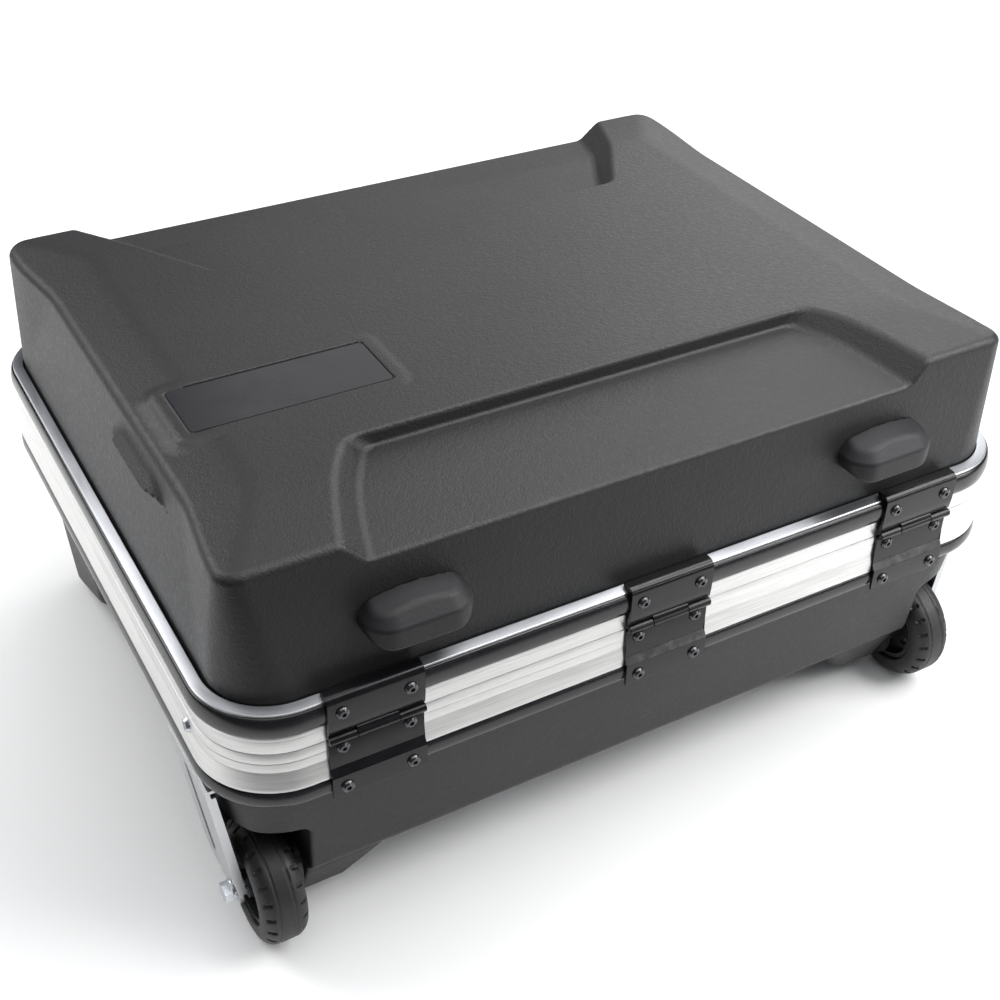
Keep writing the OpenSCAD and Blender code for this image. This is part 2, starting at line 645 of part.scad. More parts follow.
module carry_handle() color(SILVER) seat() latch_side() {
  for (s = [-1, 1]) difference() {
    union() {
      across(s * handle_x, arm_w) polygon([[handle_pin[0] - 1.8, handle_pin[1]],
      [handle_pin[0] - 1.8, foot_z - 3],
        [-3, grip_z + 8], [-3, grip_z], [3, grip_z], [3, grip_z + 9], [handle_pin[0] + 1.8, foot_z - 4],
        [handle_pin[0] + 1.8, handle_pin[1]]]);
      rod(s * handle_x, arm_w, handle_pin, 4);
      rod(s * handle_x, arm_w, [0, grip_z], bar_d);
    }
    rod(s * handle_x, arm_w + 2, handle_pin, 2.4 + 2 * run_gap);
  }
  rod(0, 2 * handle_x, [0, grip_z], bar_d);
}
module handle_grip() color(BLACK) seat() latch_side() difference() {
  across(0, grip_l) union() {
    translate([0, grip_z - 4]) circle(d = grip_d, $fn = 40);
    translate([0, grip_z + 4]) circle(d = grip_d, $fn = 40);
    translate([-grip_d / 2, grip_z - 4]) square([grip_d, 8]);
  }
  rod(0, grip_l + 2, [0, grip_z], bar_d + 2 * run_gap);
}

// ---- Wheels ----

axle_z = wheel_d / 2 + wheel_gap - lip_h;
recess_x = case_l / 2 - recess_in;
hub_d = 48;
plate_t = 2.6;
plate_lean = 7;
plate_ref_x = case_l / 2 - 0.2;
plate_ref_z = -96;
plate_w = 58;
plate_mid = wheel_y - 21;
plate_wing = 5;
slot_l = 78;
plate_top = rim_z - gap;
plate_low = axle_z - 14;
rivet_x = case_l / 2 - 3.4;
function plate_x(z) = plate_ref_x + (z - plate_ref_z) * tan(plate_lean);

module axle_place(s) scale_x(s) translate([0, wheel_y, axle_z]) rotate([0, 90, 0]) children();

module wheel_carrier(s) color(BLACK) seat() difference() {
  axle_place(s) {
    translate([0, -6, recess_x + 0.2]) linear_extrude(3) rounded(38, 34, 12);
    translate([0, 0, recess_x + 0.2]) cylinder(d = 20, h = 4.5, $fn = 40);
  }
  axle_place(s) translate([0, 0, recess_x + 1.8]) cylinder(r = axle_d / 2 + run_gap, h = 20, $fn = 40);
}
module wheel_carrier_left() wheel_carrier(-1);
module wheel_carrier_right() wheel_carrier(1);

// Slotted side plate that leans with the wall and holds the outer end of the axle
module plate_flat() {
  translate([plate_ref_x, 0, plate_ref_z]) rotate([0, plate_lean, 0]) rotate([90, 0, 90]) children();
}
module wheel_plate(s) color(SILVER) seat() scale_x(s) difference() {
  union() {
    plate_flat() translate([0, 0, -plate_t]) linear_extrude(plate_t) {
      translate([plate_mid - plate_w / 2, plate_low - plate_ref_z + 14])
        square([plate_w, plate_top - plate_low - 15]);
      translate([plate_mid, plate_low - plate_ref_z + 15]) rounded(plate_w, 28, 12);
    }
    plate_flat() for (e = [-1, 1]) translate([plate_mid + e * (plate_w / 2 - 1) - 1, -60, -plate_wing])
      cube([2, 84, plate_wing]);
    translate([case_l / 2 - base_in + gap, plate_mid - plate_w / 2, plate_top - 2])
      cube([plate_x(plate_top) - case_l / 2 + base_in - 2, plate_w, 2]);
  }
  plate_flat() translate([plate_mid - 6, 19 - slot_l / 2, -10]) linear_extrude(20) rounded(9, slot_l, 4);
  axle_place(1) cylinder(d = axle_d + 1.6, h = 400, $fn = 40);
  for (e = [-1, 1]) translate([rivet_x, plate_mid + e * 19, plate_top - 6])
    cylinder(r = 1.6 + run_gap, h = 10, $fn = 24);
}
module wheel_plate_left() wheel_plate(-1);
module wheel_plate_right() wheel_plate(1);
module wheel_plate_rivets() color(SILVER) seat() both() for (e = [-1, 1])
  translate([rivet_x, plate_mid + e * 19, plate_top - 2]) {
    cylinder(r = 1.6, h = 2);
    translate([0, 0, -1.2]) cylinder(d1 = 4, d2 = 5.4, h = 1.2);
  }

axle_in = recess_x + 2;
axle_out = plate_x(axle_z) + 1.4;
module axle_bolt(s) color("#dfe2e4") seat() axle_place(s) {
  translate([0, 0, axle_in]) cylinder(d = axle_d, h = axle_out - axle_in, $fn = 40);
  translate([0, 0, axle_out]) cylinder(d = 13, h = 1, $fn = 40);
  translate([0, 0, axle_out + 1]) cylinder(d = 12, h = 4.5, $fn = 6);
}
module axle_bolt_left() axle_bolt(-1);
module axle_bolt_right() axle_bolt(1);
module axle_spacers() color("#dfe2e4") seat() for (s = [-1, 1]) axle_place(s) {
  washer(recess_x + 4.7 + gap, wheel_x - 12 - gap, 16);
  washer(wheel_x + 12 + gap, plate_x(axle_z) - plate_t - 1.6, 11);
}
module washer(x0, x1, d) translate([0, 0, x0]) difference() {
  cylinder(d = d, h = x1 - x0, $fn = 40);
  translate([0, 0, -1]) cylinder(d = axle_d + 2 * run_gap, h = x1 - x0 + 2, $fn = 40);
}

module wheel_hub(s) color(BLACK) seat() axle_place(s) translate([0, 0, wheel_x]) difference() {
  rotate_extrude($fn = 64) polygon([[axle_d / 2 + run_gap, -12], [8, -12], [9, -5], [hub_d / 2 - 4, -5],
    [hub_d / 2 - 3, -11], [hub_d / 2, -11], [hub_d / 2, 11], [hub_d / 2 - 3, 11], [hub_d / 2 - 4, 5],
    [9, 5], [8, 12], [axle_d / 2 + run_gap, 12]]);
  for (a = [0:60:300]) rotate([0, 0, a]) translate([14.5, 0, -8]) cylinder(d = 7, h = 16, $fn = 24);
}
module wheel_hub_left() wheel_hub(-1);
module wheel_hub_right() wheel_hub(1);

tread_n = 22;
module tyre(s) color(BLACK) seat() axle_place(s) translate([0, 0, wheel_x]) difference() {
  rotate_extrude($fn = 72) polygon(concat([[hub_d / 2 + 0.02, -wheel_w / 2 + 2],
    [hub_d / 2 + 3, -wheel_w / 2]],
    tyre_shoulder(-1), tyre_shoulder(1),
    [[hub_d / 2 + 3, wheel_w / 2], [hub_d / 2 + 0.02, wheel_w / 2 - 2]]));
  for (i = [0:tread_n - 1], e = [-1, 1]) rotate([0, 0, 360 * (i + e / 4) / tread_n])
    translate([wheel_d / 2 - 7, -1, e * (wheel_w / 2 - 1.6) - 2]) cube([5, 2.4, 4]);
}
shoulder_rr = 9;
function tyre_shoulder(e) = [for (i = [0:5]) let (a = e < 0 ? 90 * i / 5 : 90 - 90 * i / 5)
  [wheel_d / 2 - shoulder_rr + shoulder_rr * sin(a), e * (wheel_w / 2 - shoulder_rr + shoulder_rr * cos(a))]];
module tyre_left() tyre(-1);
module tyre_right() tyre(1);

// ---- Trolley under the base ----

tube_w = 24;
tube_h = 15;
tube_t = 1.5;
tube_z = -base_floor_h - 5 - tube_h / 2;
tube_l = stage_travel + tube_overlap;
tube_y0 = -case_w / 2 + 45;
inset2 = tube_t + gap;
inset3 = 2 * (tube_t + gap);
module tube_bar(in, y0, l, solid) {
  for (s = [-1, 1]) translate([s * tube_pitch / 2, y0, tube_z]) rotate([-90, 0, 0]) linear_extrude(l)
    difference() {
      square([tube_w - 2 * in, tube_h - 2 * in], center = true);
      if (!solid) square([tube_w - 2 * in - 2 * tube_t, tube_h - 2 * in - 2 * tube_t], center = true);
    }
}
module trolley_outer_tubes() color(SILVER) seat() tube_bar(0, tube_y0, tube_l, false);
clamp_l = 34;
clamp_y = [tube_y0 + 30, tube_y0 + tube_l - 30];
module trolley_clamps() color(BLACK) seat() for (s = [-1, 1], y = clamp_y) difference() {
  translate([s * tube_pitch / 2 - tube_w / 2 - 12, y - clamp_l / 2, tube_z - tube_h / 2 - 3])
    cube([tube_w + 24, clamp_l, -base_floor_h - tube_z + tube_h / 2 + 3 - 0.1]);
  translate([s * tube_pitch / 2, y, tube_z])
    cube([tube_w + 2 * run_gap, clamp_l + 2, tube_h + 2 * run_gap], center = true);
  for (e = [-1, 1]) translate([s * tube_pitch / 2 + e * (tube_w / 2 + 6), y, tube_z - 30])
    cylinder(r = 2 + run_gap, h = 60, $fn = 24);
}
module trolley_clamp_screws() color("#101010") seat()
  for (s = [-1, 1], y = clamp_y, e = [-1, 1])
    translate([s * tube_pitch / 2 + e * (tube_w / 2 + 6), y, tube_z - tube_h / 2 - 3]) {
      cylinder(r = 2, h = -base_floor_h - tube_z + tube_h / 2 + 2.9);
      translate([0, 0, -2]) cylinder(d1 = 6, d2 = 7, h = 2);
    }
collar_l = 8;
module collar(in, y0) {
  difference() {
    for (s = [-1, 1]) translate([s * tube_pitch / 2, y0 - collar_l / 2, tube_z])
      cube([tube_w + 5 - 2 * in, collar_l, tube_h + 5 - 2 * in], center = true);
    tube_bar(in + tube_t + gap / 2, y0 - collar_l - 1, collar_l + 2, true);
  }
}
module trolley_guides() color(BLACK) seat() collar(0, tube_y0);
module trolley_middle_tubes() color(SILVER) seat()
  tube_bar(inset2, tube_y0 - collar_l - gap, tube_l - 6, false);
module trolley_middle_collars() color(BLACK) seat() collar(inset2, tube_y0 - collar_l - gap);
module trolley_inner_tubes() color(SILVER) seat()
  tube_bar(inset3, tube_y0 - 2 * collar_l - 2 * gap, tube_l - 12, false);
grip_y0 = tube_y0 - 2 * collar_l - 2 * gap;
trolley_grip_d = 20;
module trolley_grip() color(BLACK) seat() difference() {
  translate([0, grip_y0 - trolley_grip_d / 2, tube_z]) rotate([90, 0, 90])
    linear_extrude(tube_pitch + tube_w + 6, center = true) union() {
      for (e = [-1, 1]) translate([0, e * 3]) circle(d = trolley_grip_d, $fn = 48);
      square([trolley_grip_d, 6], center = true);
    }
  translate([0, grip_y0 - trolley_grip_d, tube_z]) cube([26 + 2 * gap, 12, 9 + 2 * gap], center = true);
}
module trolley_button() color("#6a6d70") seat()
  translate([0, grip_y0 - trolley_grip_d + 0.75, tube_z]) cube([26, 4.5, 9], center = true);

lid_shell();
lid_frame();
lid_bead();
lid_foot_left();
lid_foot_right();
label_plate();
hinge_lid_leaf_left();
hinge_lid_leaf_middle();
hinge_lid_leaf_right();
hinge_lid_screws();
latch_catches();
lid_stay_studs();
base_shell();
base_frame();
base_bead();
frame_seal();
hinge_base_leaf_left();
hinge_base_leaf_middle();
hinge_base_leaf_right();
hinge_pins();
hinge_base_screws();
base_feet();
stay_pivot_screws();
stay_arm_left();
stay_arm_right();
latch_plate_left();
latch_plate_right();
latch_lever_left();
latch_lever_right();
latch_lock_left();
latch_lock_right();
handle_brackets();
handle_pins();
handle_screws();
carry_handle();
handle_grip();
wheel_carrier_left();
wheel_carrier_right();
wheel_plate_left();
wheel_plate_right();
wheel_plate_rivets();
axle_bolt_left();
axle_bolt_right();
axle_spacers();
wheel_hub_left();
wheel_hub_right();
tyre_left();
tyre_right();
trolley_outer_tubes();
trolley_clamps();
trolley_clamp_screws();
trolley_guides();
trolley_middle_tubes();
trolley_middle_collars();
trolley_inner_tubes();
trolley_grip();
trolley_button();
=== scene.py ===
import bpy
import bmesh
import json
import math
import numpy as np
from mathutils import Matrix, Vector


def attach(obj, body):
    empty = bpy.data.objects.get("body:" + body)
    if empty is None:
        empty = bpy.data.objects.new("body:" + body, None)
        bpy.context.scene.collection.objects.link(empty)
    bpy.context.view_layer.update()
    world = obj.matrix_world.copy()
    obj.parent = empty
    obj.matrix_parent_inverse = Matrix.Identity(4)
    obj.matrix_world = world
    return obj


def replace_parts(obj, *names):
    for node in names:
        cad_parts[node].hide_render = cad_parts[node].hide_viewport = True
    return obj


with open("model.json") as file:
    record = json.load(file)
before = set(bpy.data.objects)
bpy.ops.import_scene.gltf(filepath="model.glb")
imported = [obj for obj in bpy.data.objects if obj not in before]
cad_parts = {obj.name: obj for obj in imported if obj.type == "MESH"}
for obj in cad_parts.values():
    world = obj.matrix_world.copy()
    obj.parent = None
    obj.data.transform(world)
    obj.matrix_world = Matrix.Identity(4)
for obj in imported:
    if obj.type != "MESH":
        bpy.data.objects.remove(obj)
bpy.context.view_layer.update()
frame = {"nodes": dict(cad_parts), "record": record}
NODES = frame["nodes"]
MM = 0.001
# The case over the lip of its frame, in mm: length, width, corner radius, height above the floor.
# The functions below measure heights from the lip, with the hinge side at +Y.
CL, CW, CR = 520.0, 420.0, 44.0
LIP = 195.0
scene = bpy.context.scene
scene.view_settings.view_transform = "Standard"

# ------------------------------------------------------------------ camera
cam_data = bpy.data.cameras.new("camera")
cam = bpy.data.objects.new("camera", cam_data)
scene.collection.objects.link(cam)
fwd = Vector((-0.402, -0.696, -0.595)).normalized()
right = Vector((-0.873, 0.488, 0.019))
right = (right - fwd * right.dot(fwd)).normalized()
up = right.cross(fwd)
cam.matrix_world = Matrix((
    (right.x, up.x, -fwd.x, 0.3947),
    (right.y, up.y, -fwd.y, 0.7056),
    (right.z, up.z, -fwd.z, 0.7080),
    (0, 0, 0, 1)))
cam_data.sensor_fit = "HORIZONTAL"
cam_data.sensor_width = 36
cam_data.lens = 53.18
cam_data.clip_start = 0.01
cam_data.clip_end = 50
scene.camera = cam


# ------------------------------------------------------------------ mesh makers
def place(name, me, body, mat, normals=None):
    """Puts a mesh in the scene as a smooth piece that rides on a body."""
    me.polygons.foreach_set("use_smooth", [True] * len(me.polygons))
    if normals is not None:
        me.normals_split_custom_set_from_vertices([tuple(n) for n in normals])
    me.materials.append(mat)
    ob = bpy.data.objects.new(name, me)
    scene.collection.objects.link(ob)
    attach(ob, body)
    return ob


def new_object(name, verts, faces, body, mat, normals=None):
    me = bpy.data.meshes.new(name)
    me.from_pydata([tuple(v) for v in verts], [], [tuple(f) for f in faces])
    me.update()
    return place(name, me, body, mat, normals)


def sharpen(bm, degrees):
    """Marks the edges that bend by more than an angle as hard."""
    for e in bm.edges:
        if len(e.link_faces) == 2 and e.calc_face_angle(0) > math.radians(degrees):
            e.smooth = False


def rmax(r, *ds):
    """Intersection of half-spaces with a rounded edge of radius r."""
    m = ds[0]
    for d in ds[1:]:
        m = np.maximum(m, d)
    u = sum(np.maximum(r + d, 0) ** 2 for d in ds)
    return np.minimum(m, -r) + np.sqrt(u)


def smax(a, b, k):
    """Intersection with a blend of width k."""
    h = np.maximum(k - np.abs(a - b), 0) / k
    return np.maximum(a, b) + h * h * k / 4


def smin(a, b, k):
    return -smax(-a, -b, k)


def rmin(r, *ds):
    return -rmax(r, *[-d for d in ds])


def gradient(fn, p, h=0.02):
    g = np.zeros_like(p)
    for a in range(3):
        d = np.zeros(3)
        d[a] = h
        g[:, a] = (fn(*(p + d).T) - fn(*(p - d).T)) / (2 * h)
    return g


def unit(v):
    return v / np.maximum(np.linalg.norm(v, axis=1), 1e-9)[:, None]


def surface(fn, lo, hi, step):
    """Closed surface where fn is zero: quads on a grid, then moved onto the surface."""
    lo = np.array(lo, float)
    n = np.ceil((np.array(hi, float) - lo) / step).astype(int) + 1
    ax = [lo[i] + step * np.arange(n[i]) for i in range(3)]
    X, Y, Z = np.meshgrid(*ax, indexing="ij")
    V = fn(X, Y, Z)
    S = V < 0
    cell = np.zeros(tuple(n - 1), bool)
    allin = np.ones(tuple(n - 1), bool)
    for i in (0, 1):
        for j in (0, 1):
            for k in (0, 1):
                c = S[i:n[0] - 1 + i, j:n[1] - 1 + j, k:n[2] - 1 + k]
                cell |= c
                allin &= c
    cell &= ~allin
    ids = -np.ones(tuple(n - 1), int)
    idx = np.argwhere(cell)
    ids[cell] = np.arange(len(idx))
    # Each cell's point starts at the mean of its edge crossings
    acc = np.zeros((len(idx), 3))
    cnt = np.zeros(len(idx))
    ci, cj, ck = idx.T
    for axis in range(3):
        o = [a for a in range(3) if a != axis]
        for p in (0, 1):
            for q in (0, 1):
                off = [0, 0, 0]
                off[o[0]] = p
                off[o[1]] = q
                a = V[ci + off[0], cj + off[1], ck + off[2]]
                off2 = list(off)
                off2[axis] = 1
                b = V[ci + off2[0], cj + off2[1], ck + off2[2]]
                hit = (a < 0) != (b < 0)
                t = np.where(hit, a / np.where(a == b, 1, a - b), 0)
                pos = np.zeros((len(idx), 3)) + off
                pos[:, axis] = t
                acc[hit] += pos[hit]
                cnt[hit] += 1
    P = lo + (idx + acc / cnt[:, None]) * step
    # Newton steps onto the surface, each shorter than a cell
    for _ in range(4):
        f = fn(*P.T)
        g = gradient(fn, P)
        s = f[:, None] * g / np.maximum((g * g).sum(1), 0.2)[:, None]
        L = np.linalg.norm(s, axis=1)
        s *= np.minimum(1, 0.6 * step / np.maximum(L, 1e-9))[:, None]
        P = P - s
    faces = []
    for axis in range(3):
        o = [a for a in range(3) if a != axis]
        sl_a = [slice(None)] * 3
        sl_b = [slice(None)] * 3
        sl_a[axis] = slice(0, n[axis] - 1)
        sl_b[axis] = slice(1, n[axis])
        for a in o:
            sl_a[a] = slice(1, n[a] - 1)
            sl_b[a] = slice(1, n[a] - 1)
        A = S[tuple(sl_a)]
        B = S[tuple(sl_b)]
        e = np.argwhere(A != B)
        ins = A[tuple(e.T)]
        q = []
        for du, dv in ((0, 0), (1, 0), (1, 1), (0, 1)):
            c = e.copy()
            c[:, o[0]] += du
            c[:, o[1]] += dv
            q.append(ids[tuple(c.T)])
        q = np.stack(q, 1)
        flip = ins if axis != 1 else ~ins
        q[~flip] = q[~flip][:, ::-1]
        faces.append(q)
    return P, np.concatenate(faces), unit(gradient(fn, P))


def shell_mesh(name, fn, wall, lo, hi, step, cut, keep_up, body, mat):
    """Open shell: the outer and the inner surface of fn, cut at the height cut and joined there."""
    bm = bmesh.new()
    for level in (0.0, -wall):
        P, F, _ = surface(lambda x, y, z: fn(x, y, z) - level, lo, hi, step)
        if level:
            F = F[:, ::-1]
        part = bmesh.new()
        vs = [part.verts.new(p) for p in P]
        for f in F:
            try:
                part.faces.new([vs[i] for i in f])
            except ValueError:
                pass
        geo = list(part.verts) + list(part.edges) + list(part.faces)
        bmesh.ops.bisect_plane(part, geom=geo, dist=1e-4, plane_co=(0, 0, cut),
                               plane_no=(0, 0, -1 if keep_up else 1), clear_outer=True)
        tmp = bpy.data.meshes.new("tmp")
        part.to_mesh(tmp)
        part.free()
        bm.from_mesh(tmp)
        bpy.data.meshes.remove(tmp)
    bm.edges.ensure_lookup_table()
    rim = [e for e in bm.edges if e.is_boundary]
    bmesh.ops.bridge_loops(bm, edges=rim)
    bmesh.ops.recalc_face_normals(bm, faces=bm.faces)
    co = np.array([v.co[:] for v in bm.verts])
    normals = unit(gradient(fn, co))
    normals[fn(*co.T) < -wall / 2] *= -1
    co[:, 2] += LIP
    for v, p in zip(bm.verts, co * MM):
        v.co = p
    me = bpy.data.meshes.new(name)
    bm.to_mesh(me)
    bm.free()
    return place(name, me, body, mat, normals)


# ------------------------------------------------------------------ ring sweep
def ring_path(arc=20, straight=(14, 10)):
    """Arc centres and outward directions round the lip, corner by corner."""
    sx, sy = CL / 2 - CR, CW / 2 - CR
    corners = ((sx, sy), (-sx, sy), (-sx, -sy), (sx, -sy))
    pts = []
    for q, (cx, cy) in enumerate(corners):
        for i in range(arc + 1):
            a = math.radians(90 * q + 90 * i / arc)
            pts.append((cx, cy, math.cos(a), math.sin(a)))
        n = straight[q % 2]
        ncx, ncy = corners[(q + 1) % 4]
        a = math.radians(90 * q + 90)
        for i in range(1, n):
            t = i / n
            pts.append((cx + (ncx - cx) * t, cy + (ncy - cy) * t, math.cos(a), math.sin(a)))
    return pts


def ring_sweep(name, profile, body, mat, sharp):
    """Sweeps a closed profile (out from the lip, up) round the case. profile is counter-clockwise."""
    path = ring_path()
    n, m = len(path), len(profile)
    verts = []
    for cx, cy, nx, ny in path:
        for u, z in profile:
            verts.append(((cx + nx * (CR + u)) * MM, (cy + ny * (CR + u)) * MM, (z + LIP) * MM))
    faces = []
    for i in range(n):
        for j in range(m):
            a, b = i * m + j, i * m + (j + 1) % m
            c, d = ((i + 1) % n) * m + (j + 1) % m, ((i + 1) % n) * m + j
            faces.append((a, d, c, b))
    ob = new_object(name, verts, faces, body, mat)
    bm = bmesh.new()
    bm.from_mesh(ob.data)
    bmesh.ops.recalc_face_normals(bm, faces=bm.faces)
    sharpen(bm, sharp)
    bm.to_mesh(ob.data)
    bm.free()
    return ob


def rounded_profile(points, default=0.25):
    """Corners of a closed polygon replaced by small arcs. points are (x, y) or (x, y, radius)."""
    out = []
    n = len(points)
    for i in range(n):
        p = np.array(points[i][:2], float)
        a = np.array(points[i - 1][:2], float)
        b = np.array(points[(i + 1) % n][:2], float)
        r = points[i][2] if len(points[i]) > 2 else default
        u, v = a - p, b - p
        lu, lv = np.linalg.norm(u), np.linalg.norm(v)
        u, v = u / lu, v / lv
        cosang = float(np.clip(u @ v, -1, 1))
        ang = math.acos(cosang)
        if r <= 0 or ang > math.radians(174):
            out.append(tuple(p))
            continue
        t = min(r / math.tan(ang / 2), 0.48 * lu, 0.48 * lv)
        rr = t * math.tan(ang / 2)
        c = p + (u + v) / np.linalg.norm(u + v) * (rr / math.sin(ang / 2))
        p0, p1 = p + u * t, p + v * t
        k = 2 if rr < 0.6 else 5
        a0 = math.atan2(*(p0 - c)[::-1])
        a1 = math.atan2(*(p1 - c)[::-1])
        da = (a1 - a0 + math.pi) % (2 * math.pi) - math.pi
        for s in range(k + 1):
            aa = a0 + da * s / k
            out.append((c[0] + rr * math.cos(aa), c[1] + rr * math.sin(aa)))
    return out


# ------------------------------------------------------------------ materials
def material(name, color, rough, metal=0.0):
    m = bpy.data.materials.new(name)
    m.use_nodes = True
    b = m.node_tree.nodes["Principled BSDF"]
    b.inputs["Base Color"].default_value = (*color, 1)
    b.inputs["Roughness"].default_value = rough
    b.inputs["Metallic"].default_value = metal
    b.inputs["IOR"].default_value = 1.5
    return m, m.node_tree, b


def node(nt, kind, **vals):
    """A new node, with its inputs or else its settings by name."""
    n = nt.nodes.new(kind)
    for k, v in vals.items():
        if k in n.inputs:
            n.inputs[k].default_value = v
        else:
            setattr(n, k, v)
    return n


def coords(nt, scale):
    """Object coordinates, stretched."""
    t = node(nt, "ShaderNodeTexCoord")
    m = node(nt, "ShaderNodeMapping")
    m.inputs["Scale"].default_value = scale
    nt.links.new(t.outputs["Object"], m.inputs["Vector"])
    return m.outputs["Vector"]


def varied(nt, fac, color, spread):
    """The colour, darker and lighter by half the spread as fac varies."""
    c = np.array(color)
    r = node(nt, "ShaderNodeValToRGB")
    shades = ((0.3, c * (1 - spread / 2)), (0.7, np.minimum(c * (1 + spread / 2), 1)))
    for e, (position, shade) in zip(r.color_ramp.elements, shades):
        e.position = position
        e.color = (*shade, 1)
    nt.links.new(fac, r.inputs["Fac"])
    return r.outputs["Color"]


def map_range(nt, value, source, target=(0, 1), kind="LINEAR"):
    """value carried from the source range to the target range."""
    r = node(nt, "ShaderNodeMapRange", interpolation_type=kind)
    names = ("From Min", "From Max", "To Min", "To Max")
    for k, v in zip(names, (*source, *target)):
        r.inputs[k].default_value = v
    nt.links.new(value, r.inputs["Value"])
    return r.outputs["Result"]


def bump(nt, bsdf, height, strength, distance):
    b = node(nt, "ShaderNodeBump", Strength=strength, Distance=distance)
    nt.links.new(height, b.inputs["Height"])
    nt.links.new(b.outputs["Normal"], bsdf.inputs["Normal"])


def shade_upward_faces(mat, painted_shade):
    """Faces that look up in the piece's own frame are multiplied by a darker blue-grey: painted shade for the
    dim reflection on the frame's top faces.
    """
    nt = mat.node_tree
    b = nt.nodes["Principled BSDF"]
    sep = node(nt, "ShaderNodeSeparateXYZ")
    nt.links.new(node(nt, "ShaderNodeTexCoord").outputs["Normal"], sep.inputs[0])
    mix = node(nt, "ShaderNodeMix", data_type="RGBA", blend_type="MULTIPLY")
    nt.links.new(map_range(nt, sep.outputs["Z"], (0.5, 0.9)), mix.inputs["Factor"])
    nt.links.new(b.inputs["Base Color"].links[0].from_socket, mix.inputs["A"])
    mix.inputs["B"].default_value = (*painted_shade, 1)
    nt.links.new(mix.outputs["Result"], b.inputs["Base Color"])


def brushed(mat, amount):
    """Brush lines along the frame: the highlight spreads up and down."""
    nt = mat.node_tree
    b = nt.nodes["Principled BSDF"]
    t = node(nt, "ShaderNodeTangent", direction_type="RADIAL", axis="Z")
    nt.links.new(t.outputs["Tangent"], b.inputs["Tangent"])
    b.inputs["Anisotropic"].default_value = amount
    b.inputs["Anisotropic Rotation"].default_value = 0.25


def grained(name, color, rough, grain=900.0, strength=0.5, dist=0.0003):
    """Moulded plastic with a fine leather grain."""
    m, nt, b = material(name, color, rough)
    cells = node(nt, "ShaderNodeTexVoronoi", Scale=1.0, feature="SMOOTH_F1")
    cells.inputs["Smoothness"].default_value = 0.6
    fine = node(nt, "ShaderNodeTexNoise", Scale=grain * 0.35, Detail=2.0)
    broad = node(nt, "ShaderNodeTexNoise", Scale=9.0, Detail=3.0)
    for tex, scale in ((cells, grain), (fine, 1), (broad, 1)):
        nt.links.new(coords(nt, (scale, scale, scale)), tex.inputs["Vector"])
    mix = node(nt, "ShaderNodeMath", operation="MULTIPLY_ADD")
    nt.links.new(cells.outputs["Distance"], mix.inputs[0])
    mix.inputs[1].default_value = 0.7
    nt.links.new(fine.outputs["Fac"], mix.inputs[2])
    height = mix.outputs[0]
    bump(nt, b, height, strength, dist)
    nt.links.new(varied(nt, broad.outputs["Fac"], color, 0.3), b.inputs["Base Color"])
    gloss = map_range(nt, height, (0.2, 0.9), (rough - 0.08, rough + 0.08))
    nt.links.new(gloss, b.inputs["Roughness"])
    return m


def plain(name, color, rough, metal=0.0, scale=300.0, strength=0.15, dist=0.0002, spread=0.15,
          stretch=(1, 1, 1)):
    """Finish with fine noise in colour, roughness and bump. stretch makes it brushed."""
    m, nt, b = material(name, color, rough, metal)
    noise = node(nt, "ShaderNodeTexNoise", Scale=scale, Detail=3.0)
    nt.links.new(coords(nt, stretch), noise.inputs["Vector"])
    fac = noise.outputs["Fac"]
    nt.links.new(varied(nt, fac, color, spread), b.inputs["Base Color"])
    gloss = map_range(nt, fac, (0.25, 0.75), (max(rough - 0.07, 0.02), rough + 0.07))
    nt.links.new(gloss, b.inputs["Roughness"])
    bump(nt, b, fac, strength, dist)
    return m


M_SHELL = grained("shell_abs", (0.0150, 0.0150, 0.0155), 0.42, grain=900, strength=0.6, dist=0.0003)
M_BASE = grained("base_abs", (0.0150, 0.0150, 0.0155), 0.46, grain=900, strength=0.5, dist=0.0003)
M_ALU = plain("frame_aluminium", (0.72, 0.716, 0.705), 0.36, 1.0, scale=900, strength=0.15,
              dist=0.0001, spread=0.22, stretch=(0.03, 0.03, 1.2))
brushed(M_ALU, 0.6)
# Painted shade: the upward faces of the frame darkened to a blue-grey, standing in for a dim reflection
shade_upward_faces(M_ALU, (0.70, 0.72, 0.77))
M_BEAD = plain("bead_rubber", (0.012, 0.012, 0.014), 0.22, scale=300, strength=0.015)
M_FOOT = grained("foot_rubber", (0.012, 0.012, 0.014), 0.5, grain=1500, strength=0.35, dist=0.0002)
M_LABEL = plain("label_plastic", (0.010, 0.010, 0.013), 0.25, scale=60, strength=0.03)
M_HINGE = plain("hinge_paint", (0.006, 0.006, 0.007), 0.22, 0.0, scale=200, strength=0.01)
M_HINGE.node_tree.nodes["Principled BSDF"].inputs["Specular IOR Level"].default_value = 0.35
M_SCREW = plain("screw_black", (0.10, 0.10, 0.105), 0.24, 0.9, scale=900, strength=0.1)
M_ZINC = plain("zinc", (0.62, 0.65, 0.68), 0.3, 1.0, scale=800, strength=0.15)
M_CHROME = plain("latch_chrome", (0.72, 0.73, 0.74), 0.18, 1.0, scale=300, strength=0.04)
M_PLATE = plain("plate_steel", (0.56, 0.57, 0.58), 0.36, 1.0, scale=700, strength=0.12, stretch=(1, 1, 8))
M_HUB = plain("hub_plastic", (0.014, 0.014, 0.015), 0.4, scale=500, strength=0.15)
M_TYRE = plain("tyre_rubber", (0.015, 0.015, 0.016), 0.5, scale=500, strength=0.3)
M_GRIP = grained("grip_plastic", (0.025, 0.025, 0.026), 0.5, grain=1300, strength=0.35, dist=0.0002)
M_TUBE = plain("tube_aluminium", (0.60, 0.61, 0.62), 0.3, 1.0, scale=800, strength=0.08, stretch=(1, 0.1, 1))
M_BUTTON = plain("button_plastic", (0.10, 0.10, 0.11), 0.4, scale=400, strength=0.1)

